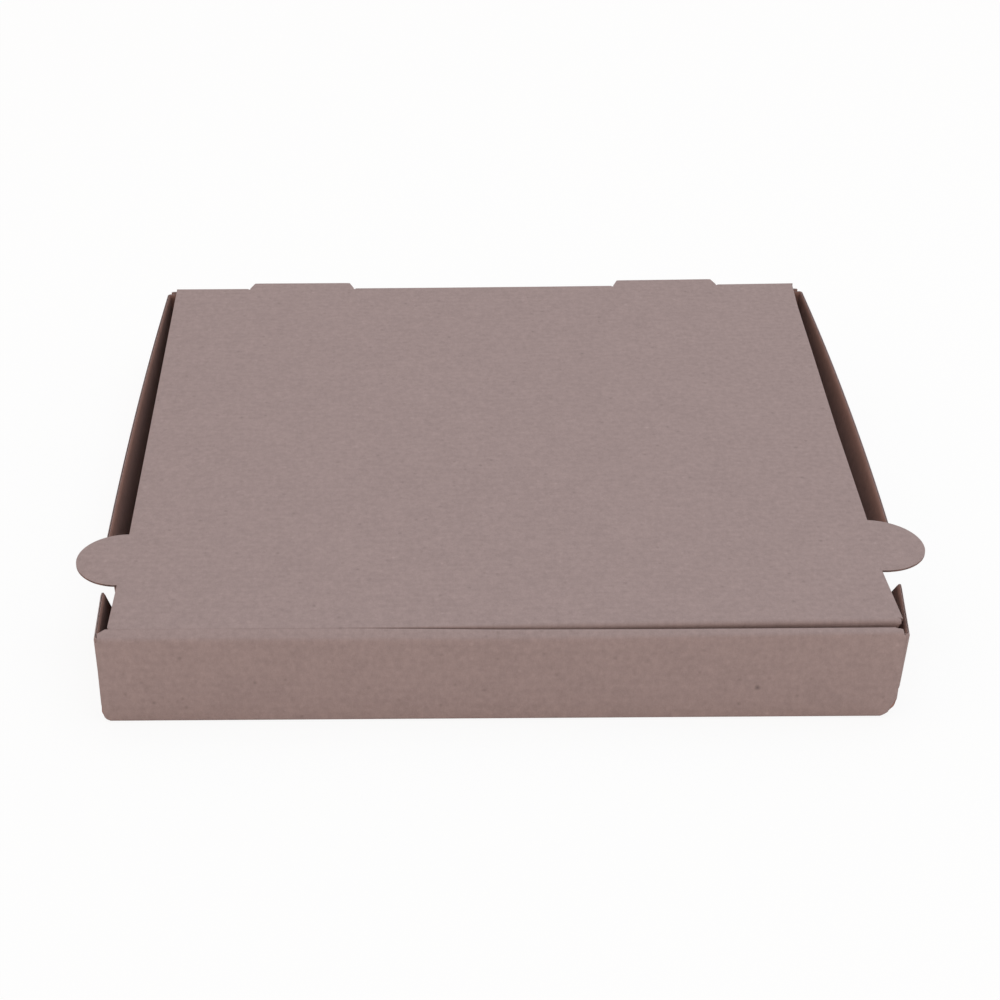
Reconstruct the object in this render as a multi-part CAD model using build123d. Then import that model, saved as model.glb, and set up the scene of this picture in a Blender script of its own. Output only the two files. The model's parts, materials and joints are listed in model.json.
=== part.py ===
from build123d import *

import math
import os

# Pizza box of corrugated board: a tray and a lid, cut as one sheet and folded, with the lid hinged on the rear wall.
# Lengths are in millimetres and angles in degrees. The origin is the middle of the underside of the base,
# +X is the right-hand side, +Y is the rear and +Z is up.

# Box
box_width = 280.0  # across the side walls at the base
box_depth = 280.0  # front wall to rear wall at the base
box_height = 36.0  # underside of the base to the top of the closed lid
board = 1.5  # thickness of the board
ply_gap = 0.15  # air between boards that are folded against each other
base_fold_radius = 1.5  # outside of the folds round the base
wall_land = 0.5  # height of wall that stands straight above a base fold

# Side walls, which lean outward along their cut top edges
wall_clearance = 0.5  # under the closed lid
front_flap_length = 45.0
rear_flap_length = 31.0
corner_flap_taper = 4.0  # a corner flap is shorter at its top by this
left_front_corner_lean = 0.8
left_lean_before_ear = 1.2
left_lean_behind_ear = 4.5
left_middle_lean = 4.3  # half-way from the ear to the rear corner
left_rear_corner_lean = 1.8
right_front_corner_lean = 2.0
right_lean_before_ear = 4.4
right_lean_behind_ear = 7.0
right_middle_lean = 6.0
right_rear_corner_lean = 2.0

# Front wall, rolled over at the top
rim_fold_radius = 1.2
rim_fold_share = 0.9  # most of the board's thickness that the rim's folds may round off
rim_inset = 0.5  # the rim stops short of the front wall's ends
inner_panel_clearance = 0.5  # from each side wall
lock_tab_width = 40.0
lock_tab_spacing = 150.0  # between the middles of the two lock tabs
lock_tab_recess = 0.3  # above the underside of the base
lock_slot_clearance = 0.3

# Lid
lid_width = 275.0
hinge_turn = 0.5  # the hinge is this far out of square with the front wall, seen from above
hinge_gap = 0.25  # between the lid's rounded rear edge and the rear wall
lid_front_gap = 0.3  # between the lid and the rim, where they are closest
lid_fold_radius = 1.5
tuck_flap_drop = 27.0
tuck_flap_lean = 5.0  # backward, so that the flap clears the front wall as it swings
tuck_flap_inset = 4.0  # from each side of the lid
tuck_flap_taper = 10.0
tuck_flap_corner_radius = 8.0

# Ears of the lid, and the notches in the side walls under them
ear_radius = 17.3
left_ear_place = 46.05  # from the lid's front fold to the middle of the ear
right_ear_place = 49.95
left_notch_lead = 3.0  # from the front of the ear to the mouth of the notch
right_notch_lead = 5.5
notch_cover = 1.0  # the notch ends this far inside the ear's rear edge
notch_depth = 20.0
notch_front_slope = 45.0
notch_rear_slope = 72.0
notch_corner_radius = 4.0

# Tabs of the lid behind the hinge, and the notches that they leave in the rear wall
tab_spacing = 162.0  # between the middles of the two tabs
tab_offset = -1.0  # of the pair, from the middle of the hinge
tab_root_width = 46.0
tab_end_width = 41.5
tab_reach = 6.0  # from the hinge axis
tab_corner_radius = 1.2
tab_clearance = 0.4

# Places worked out from these sizes
half_width = box_width / 2
half_depth = box_depth / 2
half_lid = lid_width / 2
turn = math.radians(hinge_turn)
hinge_y = half_depth - board / 2
hinge_z = box_height - board / 2
lid_underside = box_height - board
wall_start = max(base_fold_radius, board) + wall_land
wall_top = lid_underside - wall_clearance
wall_end = half_depth - board - ply_gap
rear_wall_top = lid_underside - hinge_gap
rim_rear = -half_depth + 3 * board + 2 * ply_gap
lid_front = rim_rear + lid_front_gap + half_lid * math.sin(turn)
lid_depth = hinge_y - lid_front

# What differs between the left side (-1) and the right side (1)
sides = (-1, 1)
ear_place = {-1: left_ear_place, 1: right_ear_place}
notch_lead = {-1: left_notch_lead, 1: right_notch_lead}
wall_leans = {
    -1: (
        left_front_corner_lean,
        left_lean_before_ear,
        left_lean_behind_ear,
        left_middle_lean,
        left_rear_corner_lean,
    ),
    1: (
        right_front_corner_lean,
        right_lean_before_ear,
        right_lean_behind_ear,
        right_middle_lean,
        right_rear_corner_lean,
    ),
}


def block(low, high):
    """Straight piece of board between two opposite corners."""
    size = [b - a for a, b in zip(low, high)]
    middle = [(a + b) / 2 for a, b in zip(low, high)]
    return Pos(*middle) * Box(*size)


def polygon(*points):
    """Flat face with straight sides."""
    return make_face(Polyline(*points, close=True))


def prism_along_x(sketch, x_low, x_high):
    """Solid whose section is a sketch drawn in (y, z) axes."""
    return extrude(Plane.YZ.offset(x_low) * sketch, x_high - x_low)


def prism_along_y(sketch, y_low, y_high):
    """Solid whose section is a sketch drawn in (x, z) axes."""
    plane = Plane(origin=(0, y_high, 0), x_dir=(1, 0, 0), z_dir=(0, -1, 0))
    return extrude(plane * sketch, y_high - y_low)


def lock_tab(side, clearance=0.0, z_low=lock_tab_recess):
    """Tab on the lower edge of the front wall's inner panel, or with a clearance the slot that takes it."""
    middle = side * lock_tab_spacing / 2
    return block(
        (middle - lock_tab_width / 2 - clearance, rim_rear - board - clearance, z_low),
        (middle + lock_tab_width / 2 + clearance, rim_rear + clearance, board + ply_gap),
    )


def base():
    """Base panel with its four folds turned up, and the slots for the lock tabs."""
    outside = block((-half_width, -half_depth, 0), (half_width, half_depth, wall_start))
    outside = fillet(outside.edges().group_by(Axis.Z)[0], base_fold_radius)
    hollow = block(
        (board - half_width, board - half_depth, board),
        (half_width - board, half_depth - board, wall_start + board),
    )
    slots = [lock_tab(side, lock_slot_clearance, -board) for side in sides]
    return outside - hollow - slots


def front_wall():
    """Front wall rolled over into a rim and an inner panel, which locks into the base."""
    rim_half = half_width - rim_inset
    panel_half = half_width - board - inner_panel_clearance
    outer = block((-half_width, -half_depth, wall_start), (half_width, board - half_depth, box_height))
    rim = block((-rim_half, -half_depth, box_height - board), (rim_half, rim_rear, box_height))
    inner = block((-panel_half, rim_rear - board, board + ply_gap), (panel_half, rim_rear, box_height))
    roll = outer + rim + inner
    top_edges = roll.edges().filter_by(Axis.X).group_by(Axis.Z)[-1].sort_by(Axis.Y)
    roll = fillet([top_edges[0], top_edges[-1]], min(rim_fold_radius, rim_fold_share * board))
    return roll + [lock_tab(side) for side in sides]


def rear_shift(side):
    """How far back the rear end of a side wall stands at its top, to stay inside the turned rear wall."""
    flap_ends = (side * half_width, side * (half_width - rear_flap_length))
    return min(flap_ends) * math.sin(turn)


def notch_mouth(side):
    """Front and rear end of a notch in the side wall's top edge, under the ear of the closed lid."""
    ear_y = hinge_y - (lid_depth - ear_place[side]) * math.cos(turn) + side * half_lid * math.sin(turn)
    return ear_y - ear_radius - notch_lead[side], ear_y + ear_radius - notch_cover


def ear_notch(side):
    """Space cut from a side wall's top edge under an ear, with sloping ends."""
    front, rear = notch_mouth(side)
    front_run = notch_depth / math.tan(math.radians(notch_front_slope))
    rear_run = notch_depth / math.tan(math.radians(notch_rear_slope))
    floor = wall_top - notch_depth
    outline = polygon(
        (front, wall_top),
        (front + front_run, floor),
        (rear - rear_run, floor),
        (rear, wall_top),
        (rear, box_height),
        (front, box_height),
    )
    outline = fillet(outline.vertices().group_by(Axis.Y)[0], notch_corner_radius)
    x_ends = sorted((side * (half_width - 2 * board), side * (half_width + max(wall_leans[side]) + board)))
    return prism_along_x(outline, *x_ends)


def wall_section(side, z, leans=None, shift=0.0):
    """Level section through a side wall: straight over its fold, or leaning outward along its top edge."""
    front, before_ear, behind_ear, middle, rear = leans or (0, 0, 0, 0, 0)
    notch_front, notch_rear = notch_mouth(side)
    rear_y = wall_end + shift
    lines = []
    for inset in (0, board):
        x_fold = half_width - inset
        corner = (side * (x_fold + front), -wall_end, z)
        before = (side * (x_fold + before_ear), notch_front, z)
        behind = (side * (x_fold + behind_ear), notch_rear, z)
        half_way = (side * (x_fold + middle), (notch_rear + rear_y) / 2, z)
        end = (side * (x_fold + rear), rear_y, z)
        lines += [Line(corner, before), Line(before, behind)]
        lines += [ThreePointArc(behind, half_way, end) if leans else Line(behind, end)]
    lines += [Line(lines[0] @ 0, lines[3] @ 0), Line(lines[2] @ 1, lines[5] @ 1)]
    return make_face(lines)


def corner_flap(side, length, lean, y_foot, y_top):
    """Flap on one end of a side wall, folded in along the front or the rear wall."""
    free_end = half_width - length
    wall_middle = half_width - board / 2
    sections = []
    for inner, outer, y, z in (
        (free_end, wall_middle, y_foot, wall_start),
        (free_end + corner_flap_taper, wall_middle + lean, y_top, wall_top),
    ):
        place = Pos(side * (inner + outer) / 2, y + board / 2, z)
        sections.append(place * Rectangle(outer - inner, board))
    return loft(sections, ruled=True)


def side_wall(side):
    """Side wall with its two corner flaps, leaning outward along its top edge and notched under the ear."""
    leans = wall_leans[side]
    shift = rear_shift(side)
    foot = wall_section(side, wall_start)
    top = wall_section(side, wall_top, leans, shift)
    wall = loft([foot, top], ruled=True) - ear_notch(side)
    rear_y = wall_end - board
    wall += corner_flap(side, front_flap_length, leans[0], -wall_end, -wall_end)
    return wall + corner_flap(side, rear_flap_length, leans[-1], rear_y, rear_y + shift)


def tab_outline(side, clearance=0.0):
    """Outline of a rear tab, drawn along the hinge and away from it."""
    middle = side * tab_spacing / 2 + tab_offset
    root = tab_root_width / 2 + clearance
    end = tab_end_width / 2 + clearance
    reach = tab_reach + clearance
    outline = polygon((middle - root, 0), (middle + root, 0), (middle + end, reach), (middle - end, reach))
    return fillet(outline.vertices().group_by(Axis.Y)[-1], tab_corner_radius + clearance)


def turned(shape):
    """Shape made square with the box, turned about the middle of the hinge to where it really stands."""
    return shape.rotate(Axis((0, hinge_y, 0), (0, 0, 1)), hinge_turn)


def rear_wall():
    """Rear wall up to the turned hinge, with the two notches that the tabs were cut from."""
    foot = Pos(0, hinge_y, wall_start) * Rectangle(box_width, board)
    top = Pos(0, hinge_y, rear_wall_top) * Rot(0, 0, hinge_turn) * Rectangle(box_width, board)
    hanging = Plane(origin=(0, hinge_y, hinge_z), x_dir=(1, 0, 0), z_dir=(0, 1, 0))
    notches = [turned(extrude(hanging * tab_outline(side, tab_clearance), 2 * board, both=True)) for side in sides]
    return loft([foot, top], ruled=True) - notches


def lid_section():
    """Section through the lid and its tuck flap, drawn in (y, z) axes."""
    lean = math.radians(tuck_flap_lean)
    down = (math.sin(lean), -math.cos(lean))
    inward = (math.cos(lean), math.sin(lean))
    flap_length = tuck_flap_drop / math.cos(lean)
    tip = (lid_front + flap_length * down[0], box_height + flap_length * down[1])
    inner_tip = (tip[0] + board * inward[0], tip[1] + board * inward[1])
    to_fold = (inner_tip[1] - lid_underside) / down[1]
    inner_fold = (inner_tip[0] - to_fold * down[0], lid_underside)
    outline = polygon(
        (hinge_y, box_height), (lid_front, box_height), tip, inner_tip, inner_fold, (hinge_y, lid_underside)
    )
    fold = outline.vertices().group_by(Axis.Y)[-1].sort_by(Axis.X)[0]
    return fillet(fold, lid_fold_radius)


def tuck_flap_ends():
    """What is cut away at both ends of the tuck flap, to taper it and round its lower corners."""
    top_half = half_lid - tuck_flap_inset
    low_half = top_half - tuck_flap_taper
    low = box_height - tuck_flap_drop
    flap = polygon((-top_half, lid_underside), (top_half, lid_underside), (low_half, low), (-low_half, low))
    flap = fillet(flap.vertices().group_by(Axis.Y)[0], tuck_flap_corner_radius)
    around = Pos(0, lid_underside - tuck_flap_drop) * Rectangle(2 * lid_width, 2 * tuck_flap_drop)
    reach = tuck_flap_drop * math.tan(math.radians(tuck_flap_lean)) + 2 * board
    return prism_along_y(around - flap, lid_front - board, lid_front + reach)


def lid():
    """Lid with its tuck flap, its two ears, its two rear tabs and a rounded rear edge on the hinge axis."""
    panel = prism_along_x(lid_section(), -half_lid, half_lid) - tuck_flap_ends()
    for side in sides:
        panel += Pos(side * half_lid, lid_front + ear_place[side], hinge_z) * Cylinder(ear_radius, board)
    knuckle = Pos(0, hinge_y, hinge_z) * Rot(0, 90, 0) * Cylinder(board / 2, lid_width)
    lying = Plane(origin=(0, hinge_y, lid_underside), x_dir=(1, 0, 0), z_dir=(0, 0, 1))
    tabs = [extrude(lying * tab_outline(side), board) for side in sides]
    return turned(panel + knuckle + tabs)


def tray():
    """Base, front wall, side walls and rear wall, which are one sheet."""
    return base() + front_wall() + [side_wall(side) for side in sides] + rear_wall()


os.makedirs("parts", exist_ok=True)
export_step(tray(), "parts/tray.step")
export_step(lid(), "parts/lid.step")
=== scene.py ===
import json
import math

import bpy
import numpy as np
from mathutils import Matrix, Vector


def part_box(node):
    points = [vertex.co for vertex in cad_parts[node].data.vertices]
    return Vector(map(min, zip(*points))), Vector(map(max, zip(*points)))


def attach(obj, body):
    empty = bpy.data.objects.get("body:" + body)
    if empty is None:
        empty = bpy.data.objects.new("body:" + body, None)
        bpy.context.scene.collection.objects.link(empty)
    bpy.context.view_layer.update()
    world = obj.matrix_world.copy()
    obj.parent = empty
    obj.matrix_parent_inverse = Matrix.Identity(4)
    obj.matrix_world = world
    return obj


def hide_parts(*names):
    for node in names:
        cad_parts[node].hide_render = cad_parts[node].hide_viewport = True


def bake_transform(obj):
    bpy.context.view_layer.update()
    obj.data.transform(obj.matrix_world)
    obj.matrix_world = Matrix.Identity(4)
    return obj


# Pizza box of plain corrugated kraft board, with its lid closed.
# Every panel is a folded sheet, worked out in millimetres in the box's own frame: the origin is the
# middle of the underside, +X is the right-hand side, +Y is the rear and +Z is up. A node tree then gives
# each sheet its two liners and the fluted paper between them, so that the cut edges show open flutes.

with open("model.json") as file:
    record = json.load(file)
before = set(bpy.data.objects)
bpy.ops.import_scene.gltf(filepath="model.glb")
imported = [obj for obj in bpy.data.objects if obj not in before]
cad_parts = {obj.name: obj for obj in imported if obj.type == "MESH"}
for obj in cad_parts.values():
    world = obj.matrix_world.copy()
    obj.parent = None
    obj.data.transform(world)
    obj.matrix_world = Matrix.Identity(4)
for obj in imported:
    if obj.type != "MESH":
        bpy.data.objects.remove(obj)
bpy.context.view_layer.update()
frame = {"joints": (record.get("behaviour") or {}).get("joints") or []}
lid_joint = frame["joints"][0]
MM = 0.001
sides = (-1, 1)  # left and right

# Sizes read from the frame
hinge_y = lid_joint["pos_m"][1] / MM
hinge_z = lid_joint["pos_m"][2] / MM
hinge_turn = math.atan2(-lid_joint["axis"][1], -lid_joint["axis"][0])
box_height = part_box("tray")[1].z / MM
half_depth = -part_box("tray")[0].y / MM
half = box_height - hinge_z  # half the thickness of the board
board = 2 * half

# Plies of the board
liner = 0.26
medium = 0.2  # the fluted paper
flute_pitch = 3.3
flute_rows = 8  # of points on each wave of the fluted paper
flute_step = flute_pitch / flute_rows
panel_step = 8.0  # between rows of points on a flat liner
fine_step = 0.5  # and where its outline is curved
weld_distance = 0.001  # points of a ply that are closer than this become one
sharp_angle = math.radians(35.0)  # faces that meet at more than this have an edge between them
pattern_spacing = 80.0  # between the patterns of the paper on two sheets

# Folds and cut edges
fold_steps = 6  # rows round a fold
inner_fold = 0.1  # radius of the inside of a fold
least_bend = math.radians(1.0)  # two legs of a sheet that turn by less have no fold between them
fold_mark = 0.5  # the points of a fold are numbered this much past the leg before it
cut_band = 1.0  # a cut edge is crushed over this width
cut_share = 0.5  # to this share of the board's thickness
finger_share = 0.35  # and more on the fingers in front of the ears
edge_bands = (0, 1, 2)  # places of the lines of points at a cut edge, in crushed widths

# Tray
half_width = 140.0
ply_gap = 0.15
wall_start = 2.0  # the walls lean from this height up
wall_top = 34.0
wall_end = half_depth - board - ply_gap
wall_levels = (0, 0.3, 0.6, 0.8)  # lines of points up a side wall, in shares of its height
rim_rear = -half_depth + 3 * board + 2 * ply_gap
rim_inset = 0.5
rim_fall_places = (-104.0, 0.0, 75.0, 124.0)
rim_falls = (1.2, 1.6, 0.85, 0.0)  # the rim slopes down to the front wall by this at those places
inner_panel_clearance = 0.5
front_flap_length = 45.0
rear_flap_length = 31.0
corner_flap_taper = 4.0
lock_tab_width = 40.0
lock_tab_spacing = 150.0
lock_tab_recess = 0.3
lock_slot_clearance = 0.3
tab_cells = (3, 6)  # cells of the tray's rows that lie on its two lock tabs or its two rear notches

# How far the front wall's ends stand out, at foot and top
front_end_flare = {-1: (-0.2, 0.2), 1: (-0.7, 0.4)}

# Lower corners that handling has pressed in: side, front (-1) or rear (1), radius
crushed_corners = ((-1, -1, 4.5), (1, -1, 8.0), (-1, 1, 2.0), (1, 1, 2.0))
crush_reach = 25.0  # how far from a corner the board is pushed out of place

# Lean of the side walls' top edges: front corner, before the ear, behind it, half-way back, rear corner
wall_leans = {-1: (0.9, 2.0, 4.4, 4.3, 1.8), 1: (2.1, 4.9, 7.3, 6.5, 2.2)}
notch_mouth = {-1: (-108.0, -72.55), 1: (-105.0, -66.25)}
notch_depth = 20.0
notch_front_slope = math.radians(50.0)
notch_rear_slope = math.radians(72.0)
notch_floor_rounding = 4.0
notch_mouth_rounding = 1.5
seam_gap = 0.02  # between the base and the strip of it that belongs to the rear wall

# Lid
half_lid = 137.5
lid_front_gap = 0.3
hinge_clearance = 0.25
hinge_land = half + hinge_clearance  # from the hinge axis to the wall below it and to the lid's flat
hinge_fold_cells = 4  # along each stretch of the hinge's fold
tuck_flap_drop = 27.0
tuck_flap_lean = math.radians(5.0)
tuck_flap_inset = 1.0
tuck_flap_taper = 10.0
tuck_flap_corner_radius = 8.0
ear_radius = 17.3
ear_place = {-1: 46.05, 1: 49.95}  # from the lid's front fold to the middle of the ear
ear_steps = 24
ear_cells = {-1: (0, 1), 1: (-1, -2)}  # cells of the lid's rows that lie on an ear
ear_droop = {-1: 0.0, 1: 0.8}  # at the ear's tip
tab_spacing = 162.0
tab_offset = -1.0
tab_root_width = 46.0
tab_end_width = 41.5
tab_reach = 6.0
tab_corner_radius = 1.2
tab_clearance = 0.8
lid_cells = (2, 2, 6, 2, 2)  # across the lid, between its edges and the edges of its tabs

# Warp of the closed lid: its right half stands a little high, and its front fold bows forward to the rim
lift_start = -100.0  # the lid lifts to the right of this place
front_lift = 0.85  # at its right-hand front corner
rear_lift = 1.4
gap_places = (-half_lid, -60.0, -46.0, -20.0, 15.0, 87.0, half_lid)
front_gaps = (0.015, 0.015, 0.04, 0.36, 0.8, 1.45, 1.5)  # between lid and rim at those places
bow_reach = 60.0  # how far back the bow fades out

# How far the lid's side edges stand out of line, at places from its front to its rear
edge_places = {-1: (0, 29, 63), 1: (0, 32, 67, 138, 208, 251, 272)}
edge_shifts = {-1: (1.4, 0.9, 0.0), 1: (0.5, -1.4, -0.9, -1.3, -1.0, -0.9, -0.2)}
edge_margin = 35.0  # they pull on this width of the lid

# Outer radius of the folds where lid and rim meet: tight on the left, rounder on the right
tight_fold = 0.04
round_rim_fold = 2.1
round_lid_fold = 1.7
tight_until = -58.0
round_from = 25.0

# Places worked out from these sizes
side_seam = half_width - board - inner_fold
rear_seam = half_depth - board
rear_wall_top = hinge_z - hinge_land
lid_end = hinge_y - hinge_land
lid_front = rim_rear + lid_front_gap + half_lid * math.sin(hinge_turn)

# Paper: its colours, then the size of each pattern in it and how far that changes the shade
outer_colour = (0.358, 0.273, 0.265)
# browner kraft of the inner liner, made redder with painted shade: the red tint of the shade inside the
# box
inner_kraft_and_shade_colour = (0.352, 0.196, 0.163)
cloud_size, cloud_shade = 16.0, 0.10
mottle_size, mottle_shade = 2.2, 0.34
grain_size, grain_shade = 0.5, 0.20
streak_size, streak_shade = (5.0, 1.4), 0.13  # long across the flutes
fibre_size, fibre_shade = (1.6, 0.35), 0.14
# painted light and shade of the flutes' faint washboard, laid on the paper's colour
flute_painted_shading = 0.008
raw_shade, raw_grain_shade = 0.05, 0.8  # a cut edge is paler, and its grain is stronger
cloud_detail = 3.0
fine_detail = 2.0
noise_roughness = 0.6
noise_mean = 0.5

# Flecks in the paper: size of the cells that they are scattered over, their radius, and the least and
# the greatest chance of the cells that have one
dark_fleck, dark_fleck_shade = (5.0, 1.0, 0.66, 1.0), 0.20
stray_fleck, stray_fleck_shade = (34.0, 1.3, 0.8, 1.0), 0.25
light_fleck, light_fleck_shade = (5.5, 1.0, 0.0, 0.30), 0.14
speck_place = (89.8, 13.2)  # the one dark speck on the front wall, across the wall and up it
speck_radius, speck_shade = 1.4, 0.5

# Relief of the paper, and how matt it is
grain_relief, fibre_relief, flute_relief = 0.05, 0.05, 0.012
relief_strength = 0.6
paper_roughness, mottle_roughness = 0.86, 0.12
paper_specular = 0.25

# Floor and light, in metres and watts
white = (1, 1, 1, 1)
floor_reach = 6.0
floor_glow = 0.9  # share of white glow in what the camera sees of the floor
fill_colour = (1.0, 0.847, 0.743, 1)
fill_strength = 0.75
lamp_place = Vector((0.2, 0.05, 1.4))
lamp_size = 1.6
lamp_power = 7.9
lamp_colour = (0.46, 0.78, 1.0)

# Camera, fitted to the photograph
camera_place = (-22.3, -815.8, 487.6)
camera_pitch = math.radians(30.46)
camera_yaw = math.radians(1.78)
camera_roll = math.radians(-0.67)
focal_pixels = 2354.3
image_pixels = 1000
sensor_width = 36.0


class Value:
    """Number on a node's socket. An expression on it adds Math nodes to its tree."""

    def __init__(self, graph, socket):
        self.graph = graph
        self.socket = socket

    def output(self, name):
        """Another output of the same node."""
        return Value(self.graph, self.socket.node.outputs[name])

    def __add__(self, other):
        return self.graph.math("ADD", self, other)

    def __radd__(self, other):
        return self.graph.math("ADD", other, self)

    def __sub__(self, other):
        return self.graph.math("SUBTRACT", self, other)

    def __rsub__(self, other):
        return self.graph.math("SUBTRACT", other, self)

    def __mul__(self, other):
        return self.graph.math("MULTIPLY", self, other)

    def __rmul__(self, other):
        return self.graph.math("MULTIPLY", other, self)

    def __truediv__(self, other):
        return self.graph.math("DIVIDE", self, other)

    def __rtruediv__(self, other):
        return self.graph.math("DIVIDE", other, self)

    def __gt__(self, other):
        return self.graph.math("GREATER_THAN", self, other)

    def __lt__(self, other):
        return self.graph.math("LESS_THAN", self, other)


class Graph:
    """Node tree that is filled by expressions."""

    def __init__(self, tree):
        self.tree = tree
        tree.nodes.clear()

    def node(self, kind, settings=None, inputs=None):
        """Node of a kind, with its settings made first and then its sockets set or linked.

        Gives its first output, or the node itself if it has none.
        """
        made = self.tree.nodes.new(kind)
        for name, setting in (settings or {}).items():
            setattr(made, name, setting)
        for name, given in (inputs or {}).items():
            several = given if isinstance(given, list) else [given]
            for one in several:
                if isinstance(one, Value):
                    self.tree.links.new(one.socket, made.inputs[name])
                else:
                    made.inputs[name].default_value = one
        return Value(self, made.outputs[0]) if made.outputs else made

    def math(self, operation, *numbers):
        """Math node on values and plain numbers."""
        return self.node("ShaderNodeMath", {"operation": operation}, dict(enumerate(numbers)))

    def vector_math(self, operation, inputs):
        """Vector Math node on vectors or colours."""
        return self.node("ShaderNodeVectorMath", {"operation": operation}, inputs)

    def scaled(self, vector, factor):
        """Vector or colour times a number."""
        return self.vector_math("SCALE", {0: vector, "Scale": factor})

    def between(self, first, second, share):
        """Colour at a share of the way from one plain colour to another."""
        change = tuple(end - begin for begin, end in zip(first, second))
        return self.vector_math("MULTIPLY_ADD", {0: change, 1: share, 2: first})

    def attribute(self, name, output):
        """Output of an attribute of the mesh."""
        return self.node("ShaderNodeAttribute", {"attribute_name": name}).output(output)


def spaced(low, high, step):
    """Values from low to high, evenly spaced and no further apart than step."""
    count = max(1, math.ceil(abs(high - low) / step))
    return np.linspace(low, high, count + 1)


def stretch_places(length, full_length, step):
    """Places along the straight stretch of a panel, whose full length has the folds at its ends too.

    One lies close to each end, so that the panel shades flat between them. Their number follows from the
    full length, so that it doesn't change with the folds.
    """
    count = max(1, math.ceil(full_length / step))
    if step < 2 * fine_step:
        return np.linspace(0, length, count + 1)
    margin = min(fine_step, length / 4)
    return np.concatenate(([0.0], np.linspace(margin, length - margin, count + 1), [length]))


def unit(vector):
    """Vector of length one."""
    return vector / np.linalg.norm(vector)


def smooth(share):
    """Smooth step from 0 to 1."""
    share = np.clip(share, 0, 1)
    return share * share * (3 - 2 * share)


def smooth_least(first, second, width):
    """The lesser of two values, with the corner between them rounded over a width."""
    blend = np.maximum(width - np.abs(first - second), 0) / width
    return np.minimum(first, second) - blend**2 * width / 4


def rounding(height, radius):
    """How far an edge draws in at a height above a rounded corner."""
    left = np.clip(radius - height, 0, radius)
    return radius - np.sqrt(radius**2 - left**2)


def thickness(distance, share=cut_share):
    """Share of the board's thickness that is left at a distance from a cut edge."""
    return share + (1 - share) * np.clip(distance / cut_band, 0, 1)


def folded_line(corners, steps, crease=None, radius=board):
    """Middle of a sheet that runs straight between corners and bends to the right round each one.

    Gives its points, the leg that each lies on, and the way from each to the outer face in half
    thicknesses. Crease is the number of a corner that has an outer radius of its own.
    """
    corners = [np.array(corner, float) for corner in corners]
    rows = []
    start = corners[0]
    skipped = 0
    for leg, (begin, corner) in enumerate(zip(corners, corners[1:])):
        heading = unit(corner - begin)
        facing = np.array((-heading[1], heading[0]))
        last = leg + 2 == len(corners)
        next_heading = heading if last else unit(corners[leg + 2] - corner)
        next_facing = np.array((-next_heading[1], next_heading[0]))
        bend = math.acos(np.clip(heading @ next_heading, -1, 1))
        creased = leg + 1 == crease
        outer_radius = radius if creased else board
        inner_radius = max(outer_radius - board, inner_fold)
        length = np.linalg.norm(corner - start) - (half + inner_radius) * math.tan(bend / 2)
        full_length = np.linalg.norm(corner - begin)
        for place in stretch_places(length, full_length, steps[leg])[skipped:]:
            rows.append((start + place * heading, leg, facing))
        start = corner
        skipped = 1
        if bend > least_bend:
            mitre = (facing + next_facing) / (1 + facing @ next_facing)
            outer_centre = corner + (half - outer_radius) * mitre
            inner_centre = corner - (half + inner_radius) * mitre
            skipped = 0 if creased else 1
            for angle in np.linspace(0, bend, fold_steps + 1)[skipped:]:
                spoke = math.cos(angle) * facing + math.sin(angle) * heading
                outer = outer_centre + outer_radius * spoke
                inner = inner_centre + inner_radius * spoke
                rows.append(((outer + inner) / 2, leg + fold_mark, (outer - inner) / board))
            start = inner_centre + (half + inner_radius) * next_facing
    points, legs, outward = zip(*rows)
    return np.array(points), np.array(legs), np.array(outward)


def swept(profile, along):
    """Lattice that carries a profile's (y, z) points to places along X."""
    lattice = np.zeros(along.shape + (3,))
    lattice[..., 0] = along
    lattice[..., 1:] = profile[:, None]
    return lattice


def swept_crease(tight, rounded, along):
    """Lattice that carries one profile into another from left to right."""
    share = smooth((along - tight_until) / (round_from - tight_until))[..., None]
    return swept(tight, along) * (1 - share) + swept(rounded, along) * share


def distances(points):
    """Distance along a line of points to each of them."""
    steps = np.linalg.norm(np.diff(points, axis=0), axis=1)
    return np.concatenate(([0.0], np.cumsum(steps)))


def every_cell(lattice):
    """Mask that keeps all the cells of a lattice."""
    return np.ones((lattice.shape[0] - 1, lattice.shape[1] - 1), bool)


def cell_middles(values):
    """Value in the middle of each cell of a lattice."""
    return (values[:-1, :-1] + values[1:, :-1] + values[:-1, 1:] + values[1:, 1:]) / 4


def pair_edges(spacing, half_span, offset=0.0):
    """Places of the edges of two tabs or notches that stand a spacing apart."""
    return [side * spacing / 2 + offset + edge * half_span for side in sides for edge in sides]


def tray_row(left, right, edges):
    """Places along a row of the tray: bands at its ends, edges of two tabs or notches, the middle."""
    near_left = [left + band * cut_band for band in edge_bands]
    near_right = [right - band * cut_band for band in edge_bands[::-1]]
    return [*near_left, *edges[:2], 0, *edges[2:], *near_right]


def from_ends(along):
    """Distance from each place along a row to the closer end of the row."""
    return np.minimum(along - along[:, :1], along[:, -1:] - along)


def mean_heading(lattice, axis):
    """Direction of a lattice's lines along one axis at each point."""
    steps = np.diff(lattice, axis=axis)
    steps = steps / np.maximum(np.linalg.norm(steps, axis=2, keepdims=True), 1e-9)
    first = np.take(steps, [0], axis=axis)
    last = np.take(steps, [-1], axis=axis)
    return np.concatenate((first, steps), axis=axis) + np.concatenate((steps, last), axis=axis)


def way_out(lattice):
    """Direction out of a lattice at each point."""
    normal = np.cross(mean_heading(lattice, 1), mean_heading(lattice, 0))
    return normal / np.linalg.norm(normal, axis=2, keepdims=True)


def turned(lattice, pivot_y):
    """Lattice made square with the box, turned about a place on the Y axis as far as the hinge is."""
    cosine, sine = math.cos(hinge_turn), math.sin(hinge_turn)
    x, y = lattice[..., 0], lattice[..., 1] - pivot_y
    return np.stack((cosine * x - sine * y, sine * x + cosine * y + pivot_y, lattice[..., 2]), axis=2)


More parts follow.
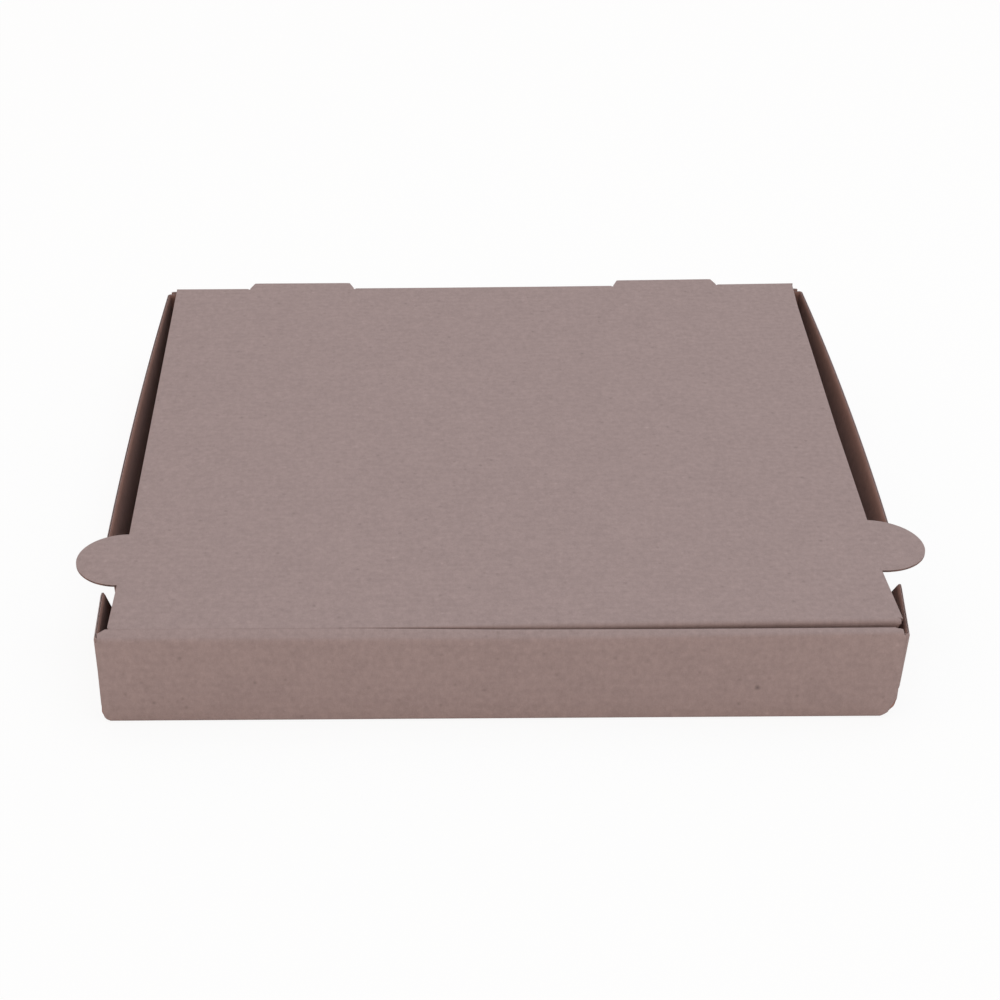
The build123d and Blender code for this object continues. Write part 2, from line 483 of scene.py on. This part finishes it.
def pressed_in(lattice):
    """Lattice of the tray with its lower corners pressed in."""
    x, y, z = np.moveaxis(lattice, 2, 0)
    moved = x
    for side, end, radius in crushed_corners:
        beside = smooth((side * x - half_width + crush_reach) / crush_reach)
        before = smooth((end * y - half_depth + crush_reach) / crush_reach)
        moved = moved - side * rounding(z, radius) * beside * before
    return np.stack((moved, y, z), axis=2)


def lid_lift(x, y):
    """How far the closed lid is warped upward."""
    share = np.clip((x - lift_start) / (half_lid - lift_start), 0, 1)
    back = (y - lid_front) / (hinge_y - lid_front)
    return share**2 * (front_lift + (rear_lift - front_lift) * back)


def warped_lid(lattice):
    """Lattice of the lid with the warp that it has in the closed box."""
    x, y, z = np.moveaxis(lattice, 2, 0)
    reach = np.abs(x) - half_lid
    pull = np.clip(np.minimum(1 + reach / edge_margin, 1 - reach / ear_radius), 0, 1)
    left, right = (np.interp(y - lid_front, edge_places[side], edge_shifts[side]) for side in sides)
    shift = np.where(x < 0, -left, right) * pull
    fading = np.clip(1 - (y - lid_front) / bow_reach, 0, 1)
    straight_gap = lid_front_gap + (x + half_lid) * math.sin(hinge_turn)
    bow = (straight_gap - np.interp(x, gap_places, front_gaps)) * fading
    droop = sum(ear_droop[side] * np.maximum(side * x - half_lid, 0) / ear_radius for side in sides)
    return np.stack((x + shift, y - bow, z + lid_lift(x, y) - droop), axis=2)


class Sheets:
    """Sheets of board that move together.

    Each point of a sheet's middle has the way to the outer face, a place on the paper and whether the
    sheet is the fluted one.
    """

    def __init__(self):
        self.points = []
        self.outward = []
        self.place = []
        self.fluted = []
        self.quads = []
        self.count = 0

    def add(self, lattice, outward, along, across, keep, fluted):
        """Sheet on a lattice of rows across the flutes and columns along them.

        Keep says which of its cells are board.
        """
        rows, columns = lattice.shape[:2]
        first = sum(len(points) for points in self.points)
        number = first + np.arange(rows * columns).reshape(rows, columns)
        corners = np.stack((number[:-1, :-1], number[:-1, 1:], number[1:, 1:], number[1:, :-1]), axis=2)
        self.quads.append(corners[keep])
        self.points.append(lattice.reshape(-1, 3))
        self.outward.append(outward.reshape(-1, 3))
        apart = np.full((rows, columns), self.count * pattern_spacing)
        across = np.repeat(np.asarray(across)[:, None], columns, axis=1)
        self.place.append(np.stack((along, across, apart), axis=2).reshape(-1, 3))
        self.fluted.append(np.full(rows * columns, fluted))
        self.count += 1

    def mesh(self, name):
        """Mesh of the sheets' middles, which the node tree turns into board."""
        used, quads = np.unique(np.concatenate(self.quads), return_inverse=True)
        points = np.concatenate(self.points)[used] * MM
        made = bpy.data.meshes.new(name)
        made.from_pydata(points.tolist(), [], quads.reshape(-1, 4).tolist())
        for attribute, kind, field, values in (
            ("outward", "FLOAT_VECTOR", "vector", np.concatenate(self.outward)[used]),
            ("place", "FLOAT_VECTOR", "vector", np.concatenate(self.place)[used] * MM),
            ("fluted", "BOOLEAN", "value", np.concatenate(self.fluted)[used]),
        ):
            layer = made.attributes.new(attribute, kind, "POINT")
            layer.data.foreach_set(field, values.ravel())
        return made


def base_and_front(step):
    """Base, front wall, rim and inner panel with its lock tabs, rolled from one length of board."""
    front = half - half_depth
    inner = rim_rear - half
    corners = (
        (rear_seam, half),
        (rim_rear + lock_slot_clearance, half),
        (rim_rear - board - lock_slot_clearance, half),
        (front, half),
        (front, hinge_z),
        (inner, hinge_z),
        (inner, board + ply_gap),
        (inner, lock_tab_recess),
    )
    slot_leg, fold_leg, wall_leg, rim_leg, lock_leg = 1, 2, 3, 4, 6
    rim_rear_fold = 5
    steps = [step] * (len(corners) - 1)
    points, legs, outward = folded_line(corners, steps, rim_rear_fold, tight_fold)
    round_points, _, round_outward = folded_line(corners, steps, rim_rear_fold, round_rim_fold)

    def end(side, leg, z):
        """Distance of a row's end from the middle of the box."""
        if leg <= fold_leg:
            return side_seam
        if leg <= wall_leg:
            low, high = front_end_flare[side]
            return half_width + low + (high - low) * z / box_height
        if leg <= rim_leg:
            return half_width - rim_inset
        return half_width - board - inner_panel_clearance

    rows = []
    for z, leg in zip(points[:, 1], legs):
        spare = lock_slot_clearance if leg < wall_leg else 0
        edges = pair_edges(lock_tab_spacing, lock_tab_width / 2 + spare)
        rows.append(tray_row(-end(-1, leg, z), end(1, leg, z), edges))
    along = np.array(rows)
    from_cut = from_ends(along)
    from_cut[legs <= fold_leg] = cut_band
    keep = every_cell(along)
    keep[np.ix_(legs[1:] == slot_leg, tab_cells)] = False
    keep[legs[1:] == lock_leg] = False
    keep[np.ix_(legs[1:] == lock_leg, tab_cells)] = True
    outward = swept_crease(outward, round_outward, along)
    outward[..., 0] = 0
    outward *= thickness(from_cut)[..., None]
    lattice = swept_crease(points, round_points, along)
    up_the_wall = np.clip((lattice[..., 2] - board) / (hinge_z - board), 0, 1)
    over_the_rim = np.clip((inner - lattice[..., 1]) / (inner - front), 0, 1)
    lattice[..., 2] -= np.interp(along, rim_fall_places, rim_falls) * up_the_wall * over_the_rim
    return pressed_in(lattice), outward, along, distances(points), keep


def tab_half_width(reach, clearance):
    """Half the width of a rear tab at a distance from the hinge, or of its notch in the rear wall."""
    full_reach = tab_reach + clearance
    taper = (tab_root_width - tab_end_width) / 2 * min(max(reach, 0), full_reach) / full_reach
    corner = rounding(full_reach - min(reach, full_reach), tab_corner_radius + clearance)
    return tab_root_width / 2 + clearance - taper - corner


def tab_edges(reach, clearance):
    """Places of the edges of the two rear tabs along the hinge, or of their notches."""
    return pair_edges(tab_spacing, tab_half_width(reach, clearance), tab_offset)


def rear_wall(step):
    """Rear wall down to the base, twisted to meet the turned hinge and notched where tabs were cut."""
    notch_floor = hinge_z - tab_reach - tab_clearance
    corners = (
        (hinge_y, rear_wall_top),
        (hinge_y, notch_floor),
        (hinge_y, half),
        (rear_seam + seam_gap, half),
    )
    notch_leg, wall_leg = 0, 1
    points, legs, outward = folded_line(corners, [min(step, fine_step), step, step])
    on_base = legs > wall_leg + fold_mark
    rows = []
    for z, flat in zip(points[:, 1], on_base):
        edges = tab_edges(hinge_z - max(z, notch_floor), tab_clearance)
        end = side_seam if flat else half_width
        rows.append(tray_row(-end, end, edges))
    along = np.array(rows)
    from_cut = from_ends(along)
    from_cut[on_base] = cut_band
    lattice = swept(points, along)
    rise = np.clip((points[:, 1] - wall_start) / (rear_wall_top - wall_start), 0, 1)
    twist = rise * (legs <= wall_leg)
    lattice[..., 1] += along * math.sin(hinge_turn) * twist[:, None]
    keep = every_cell(along)
    keep[np.ix_(legs[1:] == notch_leg, tab_cells)] = False
    outward = swept(outward, 0 * along) * thickness(from_cut)[..., None]
    return pressed_in(lattice), outward, along, distances(points), keep


def wall_edge(side, y):
    """Height of a side wall's top edge, which dips into the notch under the ear."""
    front, rear = notch_mouth[side]
    from_front = (y - front) * math.tan(notch_front_slope)
    from_rear = (rear - y) * math.tan(notch_rear_slope)
    dip = smooth_least(np.minimum(from_front, from_rear), notch_depth, notch_floor_rounding)
    return wall_top + smooth_least(-dip, 0, notch_mouth_rounding)


def wall_lean(side, y):
    """How far a side wall's top edge leans out: straight to the ear, then bowed to the rear corner."""
    corner, before, behind, middle, rear = wall_leans[side]
    notch_front, notch_rear = notch_mouth[side]
    straight = np.interp(y, (-wall_end, notch_front, notch_rear), (corner, before, behind))
    share = np.clip((y - notch_rear) / (wall_end - notch_rear), 0, 1)
    ear_part = 2 * (share - 0.5) * (share - 1) * behind
    middle_part = 4 * share * (1 - share) * middle
    rear_part = 2 * share * (share - 0.5) * rear
    return np.where(y < notch_rear, straight, ear_part + middle_part + rear_part)


def side_wall(side, step):
    """Side wall with the fold to the base under it and a corner flap on each end."""
    notch_front, notch_rear = notch_mouth[side]
    reach = wall_end - half
    bend = half + inner_fold
    foot_x = half_width - half
    rear_flap_end = half_width - rear_flap_length
    front_flap_end = half_width - front_flap_length
    near_front = notch_front - notch_mouth_rounding
    near_rear = notch_rear + notch_mouth_rounding
    wall_y = np.concatenate((
        spaced(reach - bend, near_rear, step)[:-1],
        spaced(near_rear, near_front, min(step, fine_step))[:-1],
        spaced(near_front, bend - reach, step),
    ))
    turns = np.linspace(math.pi / 2, 0, fold_steps + 1)[:-1]
    rear_flap = spaced(0, 1, step / rear_flap_length)[:-1]
    front_flap = spaced(1, 0, step / front_flap_length)[1:]
    wall_first = len(rear_flap) + len(turns)
    wall_last = wall_first + len(wall_y)

    def path(rise):
        """Points (x, y) from the rear flap's end to the front flap's, at a share of the height."""
        rear_x, front_x = (foot_x + rise * wall_lean(side, end) for end in (wall_end, -wall_end))
        rear_free = rear_flap_end + rise * corner_flap_taper
        front_free = front_flap_end + rise * corner_flap_taper
        shift = rise * min(side * half_width, side * rear_flap_end) * math.sin(hinge_turn)
        behind = np.clip((wall_y - notch_rear) / (reach - notch_rear), 0, 1)
        parts = (
            (rear_free + rear_flap * (rear_x - bend - rear_free), reach + shift),
            (rear_x - bend + bend * np.cos(turns), reach - bend + bend * np.sin(turns) + shift),
            (foot_x + rise * wall_lean(side, wall_y), wall_y + shift * behind),
            (front_x - bend + bend * np.cos(turns[::-1]), bend - reach - bend * np.sin(turns[::-1])),
            (front_free + front_flap * (front_x - bend - front_free), -reach),
        )
        return np.concatenate([np.stack(np.broadcast_arrays(x, y), axis=1) for x, y in parts])

    foot_path = path(0)
    lean_path = path(1) - foot_path
    top = np.full(len(foot_path), wall_top)
    top[wall_first:wall_last] = wall_edge(side, wall_y)
    columns = []
    for angle in np.linspace(0, math.pi / 2, fold_steps + 1):
        height = np.full(len(top), half + bend - bend * math.cos(angle))
        columns.append((foot_path[:, 0] - bend + bend * math.sin(angle), foot_path[:, 1], height))
    levels = [wall_start + share * (top - wall_start) for share in wall_levels]
    levels += [top - band * cut_band for band in edge_bands[::-1]]
    for height in levels:
        rise = (height - wall_start) / (wall_top - wall_start)
        x, y = (foot_path + lean_path * rise[:, None]).T
        columns.append((x, y, height))
    lattice = np.array(columns).transpose(2, 0, 1)
    along = half_width + lattice[..., 2]
    across = distances(foot_path)
    keep = every_cell(lattice)
    keep[:wall_first, :fold_steps + 1] = False
    keep[wall_last - 1:, :fold_steps + 1] = False
    on_finger = (foot_path[:, 1] < notch_front + notch_mouth_rounding)[:, None]
    share = np.where(on_finger, finger_share, cut_share)
    board_left = thickness(top[:, None] - lattice[..., 2], share)
    lattice[..., 0] *= side
    order = slice(None, None, side)
    lattice = pressed_in(lattice[order])
    outward = way_out(lattice) * board_left[order][..., None]
    return lattice, outward, along[order], across[order], keep[order]


def distance_to_tip(y, z, flap_tip):
    """Distance from a place on the lid to the cut end of its tuck flap or of its tabs."""
    return min(math.hypot(y - flap_tip[0], z - flap_tip[1]), max(hinge_y + tab_reach - y, 0))


def lid_panel(step):
    """Lid from the tip of its tuck flap back to its rear tabs, with an ear on each side."""
    down = np.array((math.sin(tuck_flap_lean), -math.cos(tuck_flap_lean)))
    inward = np.array((math.cos(tuck_flap_lean), math.sin(tuck_flap_lean)))
    flap_top = np.array((lid_front, box_height)) + half * inward
    tip = flap_top + tuck_flap_drop / math.cos(tuck_flap_lean) * down
    fold = flap_top + (hinge_z - flap_top[1]) / down[1] * down
    ear_y = {side: lid_front + ear_place[side] for side in sides}
    turns = np.linspace(-math.pi / 2, math.pi / 2, ear_steps + 1)
    ear_rows = sorted(ear_y[side] + ear_radius * math.sin(turn) for side in sides for turn in turns)
    corners = [tip, fold, *((y, hinge_z) for y in [*ear_rows, lid_end, hinge_y, hinge_y + tab_reach])]
    steps = [step] * (len(corners) - 1)
    steps[0] = min(step, 2 * fine_step)
    steps[-1] = min(step, fine_step)
    front_fold = 1
    points, legs, outward = folded_line(corners, steps, front_fold, tight_fold)
    round_points, _, round_outward = folded_line(corners, steps, front_fold, round_lid_fold)
    lid_leg = 1
    tab_leg = len(corners) - 3
    low = box_height - tuck_flap_drop

    def end(z, leg):
        """Half the width of the lid, or of its tuck flap at a height."""
        if leg >= lid_leg:
            return half_lid
        share = (hinge_z - half - z) / (hinge_z - half - low)
        corner = rounding(z - low, tuck_flap_corner_radius)
        return half_lid - tuck_flap_inset - tuck_flap_taper * share - corner

    def ear(side, y, radius):
        """How far a circle about the middle of an ear stands out of the lid's edge."""
        return math.sqrt(max(radius**2 - (y - ear_y[side]) ** 2, 0))

    rows = []
    uncut = []
    for (y, z), leg in zip(points, legs):
        edge = end(z, leg)
        inset = edge - 2 * cut_band
        knots = [-inset, *tab_edges(y - hinge_y, 0), inset]
        spans = zip(knots, knots[1:], lid_cells)
        middle = [np.linspace(begin, finish, cells, endpoint=False) for begin, finish, cells in spans]
        left, right = (
            [edge + ear(side, y, radius) for radius in (ear_radius, ear_radius - cut_band)]
            + [edge, edge - cut_band]
            for side in sides
        )
        rows.append(np.concatenate((-np.array(left), *middle, [inset], right[::-1])))
        in_left, in_right = (np.clip(ear_radius - abs(y - ear_y[side]), 0, cut_band) for side in sides)
        from_side = np.full(len(rows[-1]), cut_band)
        from_side[:3] = (0, in_left, in_left)
        from_side[-3:] = (in_right, in_right, 0)
        uncut.append(np.minimum(from_side, distance_to_tip(y, z, tip)))
    along = np.array(rows)
    board_left = thickness(np.array(uncut))
    lattice = warped_lid(swept_crease(points, round_points, along))
    keep = every_cell(along)
    middle_y = (points[1:, 0] + points[:-1, 0]) / 2
    for side in sides:
        in_ear = (np.abs(middle_y - ear_y[side]) < ear_radius) & (legs[1:] >= lid_leg)
        for cell in ear_cells[side]:
            keep[:, cell] = in_ear
    tab_middles = [side * tab_spacing / 2 + tab_offset for side in sides]
    from_tab = np.min([np.abs(cell_middles(along) - middle) for middle in tab_middles], axis=0)
    keep[(legs[1:] >= tab_leg)[:, None] & (from_tab > tab_root_width / 2)] = False
    outward = swept_crease(outward, round_outward, along)
    outward[..., 0] = 0
    outward *= board_left[..., None]
    return turned(lattice, hinge_y), turned(outward, 0), along, distances(points), keep


def hinge_folds(step):
    """Folds between the lid and the rear wall, one each side of the tabs and one between them."""
    corners = ((lid_end, hinge_z), (hinge_y, hinge_z), (hinge_y, rear_wall_top))
    points, _, outward = folded_line(corners, [step, step])
    across = lid_end + distances(points)
    edges = tab_edges(0, tab_clearance)
    on_lid = (np.arange(len(points)) < len(points) - 1)[:, None]
    for low, high in ((-half_lid, edges[0]), (edges[1], edges[2]), (edges[3], half_lid)):
        along = np.tile(np.linspace(low, high, hinge_fold_cells + 1), (len(points), 1))
        lattice = swept(points, along)
        lattice[..., 2] += lid_lift(along, hinge_y) * on_lid
        outward_there = turned(swept(outward, 0 * along), 0)
        yield turned(lattice, hinge_y), outward_there, along, across, every_cell(along)


def sheet_attribute(graph, kind, name):
    """Attribute of the sheets' points."""
    return graph.node("GeometryNodeInputNamedAttribute", {"data_type": kind}, {"Name": name})


def at_height(graph, geometry, height):
    """Geometry of a sheet, moved from its middle to a height on the way out."""
    outward = sheet_attribute(graph, "FLOAT_VECTOR", "outward")
    offset = graph.scaled(outward, height)
    return graph.node("GeometryNodeSetPosition", None, {"Geometry": geometry, "Offset": offset})


def marked(graph, geometry, name, number):
    """Geometry with a number kept on its faces."""
    return graph.node(
        "GeometryNodeStoreNamedAttribute",
        {"data_type": "FLOAT", "domain": "FACE"},
        {"Geometry": geometry, "Name": name, "Value": number},
    )


def ply(graph, sheet, low, high, inside):
    """Closed layer of paper between two heights over a sheet.

    Its cut edges are marked raw, and all of it is marked as paper of the inside or not.
    """
    raised = graph.node(
        "GeometryNodeExtrudeMesh",
        {"mode": "FACES"},
        {"Mesh": sheet, "Offset Scale": 0.0, "Individual": False},
    )
    upper = at_height(graph, raised, low + raised.output("Top") * (high - low))
    upper = marked(graph, upper, "raw", raised.output("Side"))
    lower = at_height(graph, sheet, low)
    lower = graph.node("GeometryNodeFlipFaces", None, {"Mesh": lower})
    both = graph.node("GeometryNodeJoinGeometry", None, {"Geometry": [upper, lower]})
    both = marked(graph, both, "inside", inside)
    weld = {"Geometry": both, "Distance": weld_distance * MM}
    return graph.node("GeometryNodeMergeByDistance", None, weld)


def corrugated_board():
    """Node tree that makes sheets into board: two flat liners and a wave of fluted paper between."""
    tree = bpy.data.node_groups.new("corrugated_board", "GeometryNodeTree")
    for name, kind in (
        ("Sheets", "NodeSocketGeometry"),
        ("Half Thickness", "NodeSocketFloat"),
        ("Liner", "NodeSocketFloat"),
        ("Medium", "NodeSocketFloat"),
        ("Flute Pitch", "NodeSocketFloat"),
        ("Material", "NodeSocketMaterial"),
    ):
        tree.interface.new_socket(name, in_out="INPUT", socket_type=kind)
    tree.interface.new_socket("Board", in_out="OUTPUT", socket_type="NodeSocketGeometry")
    graph = Graph(tree)
    given = graph.node("NodeGroupInput")
    outer = given.output("Half Thickness")
    inner = outer - given.output("Liner")
    paper = given.output("Medium")
    fluted = sheet_attribute(graph, "BOOLEAN", "fluted")
    place = sheet_attribute(graph, "FLOAT_VECTOR", "place")
    across = graph.node("ShaderNodeSeparateXYZ", None, {0: place}).output("Y")
    wave = graph.math("SINE", across / given.output("Flute Pitch") * math.tau) * (inner - paper / 2)
    split = graph.node(
        "GeometryNodeSeparateGeometry", {"domain": "POINT"}, {"Geometry": given, "Selection": fluted}
    )
    flat = split.output("Inverted")
    plies = [
        ply(graph, flat, inner, outer, 0.0),
        ply(graph, flat, 0 - outer, 0 - inner, 1.0),
        ply(graph, split, wave - paper / 2, wave + paper / 2, 1.0),
    ]
    joined = graph.node("GeometryNodeJoinGeometry", None, {"Geometry": plies})
    joined = graph.node("GeometryNodeRealizeInstances", None, {"Geometry": joined})
    finished = graph.node(
        "GeometryNodeSetMaterial", None, {"Geometry": joined, "Material": given.output("Material")}
    )
    graph.node("NodeGroupOutput", None, {"Board": finished})
    return tree


def board_piece(name, sheets, tree, material):
    """Object of finished board made from sheets by the node tree."""
    blank = bpy.data.objects.new(name + "_blank", sheets.mesh(name + "_blank"))
    bpy.context.scene.collection.objects.link(blank)
    modifier = blank.modifiers.new("corrugated_board", "NODES")
    modifier.node_group = tree
    sizes = {
        "Half Thickness": half * MM,
        "Liner": liner * MM,
        "Medium": medium * MM,
        "Flute Pitch": flute_pitch * MM,
        "Material": material,
    }
    for item in tree.interface.items_tree:
        if item.name in sizes:
            modifier[item.identifier] = sizes[item.name]
    evaluated = blank.evaluated_get(bpy.context.evaluated_depsgraph_get())
    mesh = bpy.data.meshes.new_from_object(evaluated)
    mesh.name = name
    mesh.shade_smooth()
    mesh.set_sharp_from_angle(angle=sharp_angle)
    bpy.data.objects.remove(blank)
    piece = bpy.data.objects.new(name, mesh)
    bpy.context.scene.collection.objects.link(piece)
    return piece


def kraft_board():
    """Recycled kraft, grey-brown outside and browner inside, where the colour also carries painted
    shade: the red of the shade between walls and lid.

    It has mottled fibres, flecks, faint flutes in bump and in painted light and shade, and raw cut
    edges.
    """
    material = bpy.data.materials.new("kraft_board")
    material.use_nodes = True
    graph = Graph(material.node_tree)
    place = graph.attribute("place", "Vector")
    raw = graph.attribute("raw", "Fac")
    inside = graph.attribute("inside", "Fac") * (1 - raw)
    spot = graph.node("ShaderNodeTexCoord").output("Object")
    across = graph.node("ShaderNodeSeparateXYZ", None, {0: place}).output("Y")
    flutes = graph.math("SINE", across * (math.tau / (flute_pitch * MM)))

    def noise(vector, size=1.0, detail=fine_detail):
        """Noise about zero in patches of a size."""
        inputs = {"Vector": vector, "Scale": 1 / size, "Detail": detail, "Roughness": noise_roughness}
        return graph.node("ShaderNodeTexNoise", None, inputs) - noise_mean

    def stretched(length, width):
        """Place on the board, scaled so that a pattern of size one is this long across the flutes."""
        scale = (1 / (width * MM), 1 / (length * MM), 1 / MM)
        return graph.node("ShaderNodeMapping", None, {"Vector": place, "Scale": scale})

    def flecks(size, radius, low, high):
        """Soft flecks, one to a cell, in the cells whose chance lies between low and high."""
        cells = graph.node("ShaderNodeTexVoronoi", None, {"Vector": spot, "Scale": 1 / (size * MM)})
        chance = graph.node("ShaderNodeSeparateColor", None, {0: cells.output("Color")})
        return graph.math("MAXIMUM", 1 - cells / (radius / size), 0) * (chance > low) * (chance < high)

    clouds = noise(spot, cloud_size * MM, cloud_detail)
    mottle = noise(spot, mottle_size * MM)
    grain = noise(spot, grain_size * MM)
    streaks = noise(stretched(*streak_size))
    fibres = noise(stretched(*fibre_size))
    shade = (
        1
        + clouds * cloud_shade
        + mottle * mottle_shade
        + grain * grain_shade
        + streaks * streak_shade
        + fibres * fibre_shade
        # painted light and shade of the flutes' washboard
        + flutes * flute_painted_shading
    )
    dark = flecks(*dark_fleck) * dark_fleck_shade + flecks(*stray_fleck) * stray_fleck_shade
    light = flecks(*light_fleck) * light_fleck_shade
    speck_across, speck_up = speck_place
    speck_middle = Vector((speck_across, -half_depth, speck_up)) * MM
    from_speck = graph.vector_math("DISTANCE", {0: spot, 1: speck_middle}).output("Value")
    speck = graph.math("MAXIMUM", 1 - from_speck / (speck_radius * MM), 0)
    shade = shade - dark + light - speck * speck_shade + raw * (raw_shade + grain * raw_grain_shade)
    # the inner liner's colour holds painted shade as well as its own browner kraft
    colour = graph.scaled(graph.between(outer_colour, inner_kraft_and_shade_colour, inside), shade)
    relief = grain * grain_relief + fibres * fibre_relief + flutes * flute_relief
    bump = graph.node(
        "ShaderNodeBump", None, {"Height": relief, "Distance": MM, "Strength": relief_strength}
    )
    surface = graph.node(
        "ShaderNodeBsdfPrincipled",
        None,
        {
            "Base Color": colour,
            "Roughness": paper_roughness + mottle * mottle_roughness,
            "Normal": bump,
            "Specular IOR Level": paper_specular,
        },
    )
    graph.node("ShaderNodeOutputMaterial", None, {"Surface": surface})
    return material


def floor_material():
    """White floor: plain matt to the light, with a glow for the camera that leaves the shadow."""
    material = bpy.data.materials.new("white_floor")
    material.use_nodes = True
    graph = Graph(material.node_tree)
    camera_ray = graph.node("ShaderNodeLightPath").output("Is Camera Ray")
    matt = graph.node("ShaderNodeBsdfDiffuse", None, {"Color": white})
    glow = graph.node("ShaderNodeEmission", None, {"Color": white, "Strength": 1.0})
    seen = graph.node("ShaderNodeMixShader", None, {"Fac": camera_ray * floor_glow, 1: matt, 2: glow})
    graph.node("ShaderNodeOutputMaterial", None, {"Surface": seen})
    return material


def set_floor():
    """Floor that the box stands on."""
    low, high = -floor_reach, floor_reach
    corners = [(low, low, 0), (high, low, 0), (high, high, 0), (low, high, 0)]
    mesh = bpy.data.meshes.new("floor")
    mesh.from_pydata(corners, [], [(0, 1, 2, 3)])
    mesh.materials.append(floor_material())
    floor = bpy.data.objects.new("floor", mesh)
    bpy.context.scene.collection.objects.link(floor)


def set_world():
    """Soft light from all round, which looks white itself."""
    world = bpy.data.worlds.new("studio")
    world.use_nodes = True
    bpy.context.scene.world = world
    graph = Graph(world.node_tree)
    rays = graph.node("ShaderNodeLightPath")
    shown = graph.math("MAXIMUM", rays.output("Is Camera Ray"), rays.output("Is Glossy Ray"))
    shown = graph.math("MAXIMUM", shown, rays.output("Is Transmission Ray"))
    fill = graph.node("ShaderNodeBackground", None, {"Color": fill_colour, "Strength": fill_strength})
    backdrop = graph.node("ShaderNodeBackground", None, {"Color": white, "Strength": 1.0})
    mixed = graph.node("ShaderNodeMixShader", None, {"Fac": shown, 1: fill, 2: backdrop})
    graph.node("ShaderNodeOutputWorld", None, {"Surface": mixed})


def set_lamp():
    """Large round lamp overhead, aimed at the box."""
    lamp = bpy.data.lights.new("overhead_lamp", "AREA")
    lamp.shape = "DISK"
    lamp.size = lamp_size
    lamp.energy = lamp_power
    lamp.color = lamp_colour
    holder = bpy.data.objects.new("overhead_lamp", lamp)
    holder.location = lamp_place
    holder.rotation_euler = (-lamp_place).to_track_quat("-Z", "Y").to_euler()
    bpy.context.scene.collection.objects.link(holder)


def set_camera():
    """Camera at the photograph's place."""
    level = math.cos(camera_pitch)
    forward = Vector((
        math.sin(camera_yaw) * level,
        math.cos(camera_yaw) * level,
        -math.sin(camera_pitch),
    ))
    level_right = Vector((math.cos(camera_yaw), -math.sin(camera_yaw), 0))
    level_down = forward.cross(level_right)
    right = math.cos(camera_roll) * level_right + math.sin(camera_roll) * level_down
    down = math.cos(camera_roll) * level_down - math.sin(camera_roll) * level_right
    lens = bpy.data.cameras.new("camera")
    lens.sensor_width = sensor_width
    lens.lens = focal_pixels / image_pixels * sensor_width
    camera = bpy.data.objects.new("camera", lens)
    turn = Matrix((right, -down, -forward)).transposed()
    camera.matrix_world = Matrix.Translation(Vector(camera_place) * MM) @ turn.to_4x4()
    bpy.context.scene.collection.objects.link(camera)
    bpy.context.scene.camera = camera


def build_box():
    """Tray and lid, each riding on its body, and the folds between them."""
    material = kraft_board()
    tree = corrugated_board()
    tray, lid, folds = Sheets(), Sheets(), Sheets()
    for step, fluted in ((panel_step, False), (flute_step, True)):
        tray.add(*base_and_front(step), fluted)
        tray.add(*rear_wall(step), fluted)
        for side in sides:
            tray.add(*side_wall(side, step), fluted)
        lid.add(*lid_panel(step), fluted)
        for fold in hinge_folds(step):
            folds.add(*fold, fluted)
    tray_board = board_piece("tray_board", tray, tree, material)
    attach(tray_board, "tray")
    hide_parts("tray")
    lid_board = board_piece("lid_board", lid, tree, material)
    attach(lid_board, "lid")
    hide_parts("lid")
    hinge_fold = board_piece("hinge_fold", folds, tree, material)
    middle = Vector((0, hinge_y, hinge_z)) * MM
    towards_lid = Vector((math.sin(hinge_turn), -math.cos(hinge_turn), 1)).normalized()
    reach = (hinge_land - half) / math.sqrt(2) * MM
    middle - reach * towards_lid
    middle + reach * towards_lid
    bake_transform(hinge_fold)


build_box()
set_floor()
set_world()
set_lamp()
set_camera()
bpy.context.scene.view_settings.view_transform = "Standard"
